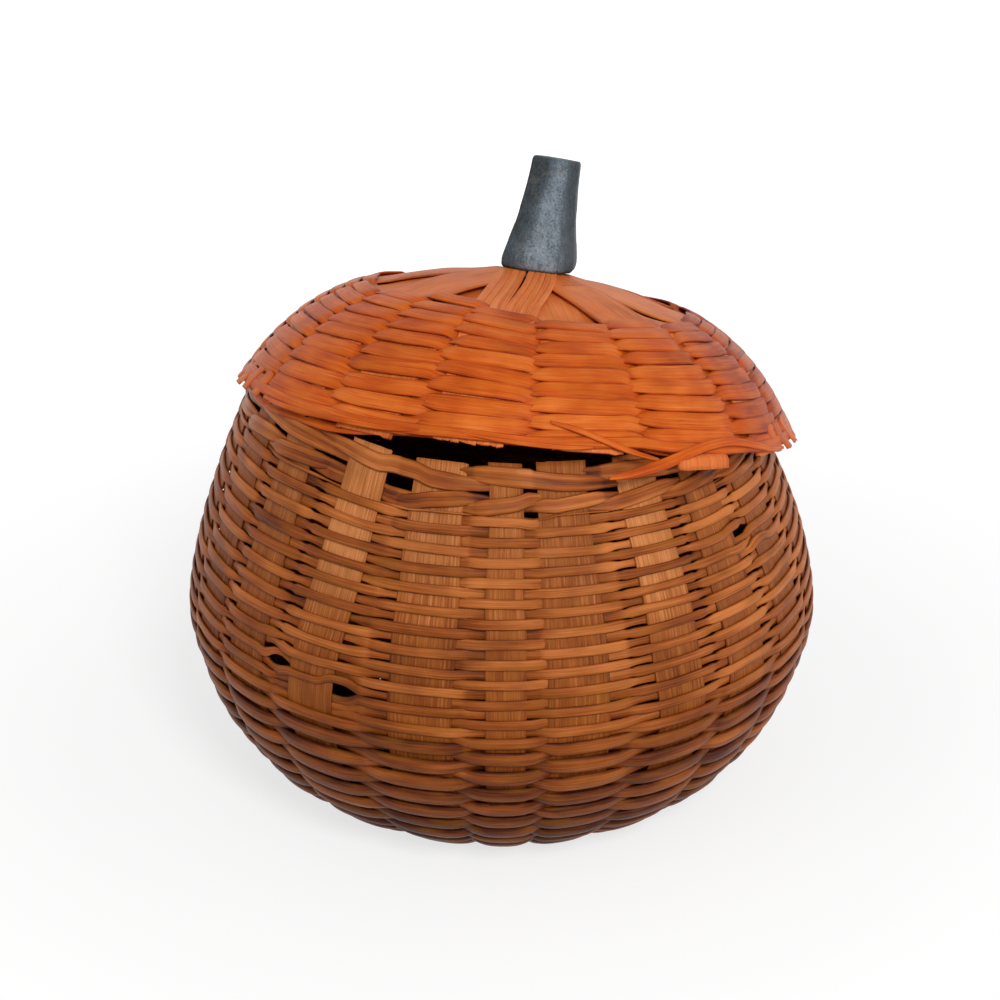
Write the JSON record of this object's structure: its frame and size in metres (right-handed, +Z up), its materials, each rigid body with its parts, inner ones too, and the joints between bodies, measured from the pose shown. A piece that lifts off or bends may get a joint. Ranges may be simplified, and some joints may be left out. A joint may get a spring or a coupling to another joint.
{
  "type": "wicker pumpkin basket",
  "caption": "Round woven splint basket shaped like a pumpkin, with a loose domed lid that rests askew and a carved stem for a handle.",
  "frame": {"origin": "centre of the foot ring, on the surface that the basket stands on", "axes": "+Z up, -Y the front that the picture shows, +X to the viewer's right"},
  "size_m": [0.2312, 0.2308, 0.2269],
  "materials": {
    "orange_splint": "dyed orange splint, satin",
    "brown_splint": "dyed brown cane, satin",
    "pale_splint": "lightly dyed splint, satin",
    "stem_paint": "matt mottled grey-blue paint on carved wood",
    "steel": "plain zinc-plated steel"
  },
  "bodies": {
    "basket": {"base_weave": "brown_splint", "side_weave": "brown_splint", "long_stake_01": "pale_splint", "long_stake_02": "pale_splint", "long_stake_03": "pale_splint", "long_stake_04": "pale_splint", "long_stake_05": "pale_splint", "long_stake_06": "pale_splint", "long_stake_07": "pale_splint", "long_stake_08": "pale_splint", "long_stake_09": "pale_splint", "long_stake_10": "pale_splint", "long_stake_11": "pale_splint", "added_stake": "pale_splint", "border_strand_lower_a": "brown_splint", "border_strand_lower_b": "brown_splint", "border_strand_upper_a": "brown_splint", "border_strand_upper_b": "brown_splint"},
    "lid": {"lid_weave": "orange_splint", "lid_slat_01": "orange_splint", "lid_slat_02": "orange_splint", "lid_slat_03": "orange_splint", "lid_slat_04": "orange_splint", "lid_slat_05": "orange_splint", "lid_slat_06": "orange_splint", "lid_slat_07": "orange_splint", "lid_slat_08": "orange_splint", "lid_slat_09": "orange_splint", "lid_slat_10": "orange_splint", "lid_slat_11": "orange_splint", "lid_slat_12": "orange_splint", "lid_slat_13": "orange_splint", "lid_slat_14": "orange_splint", "lid_slat_15": "orange_splint", "lid_slat_16": "orange_splint", "lid_slat_17": "orange_splint", "lid_edge_outer": "orange_splint", "lid_edge_inner": "orange_splint", "stem": "stem_paint", "stem_washer": "steel", "stem_screw": "steel"}
  },
  "joints": [
    {"name": "lid_lift", "type": "slide", "parent": "basket", "child": "lid", "axis": [0, 0, 1], "range_m": [0, 0.12]}
  ]
}
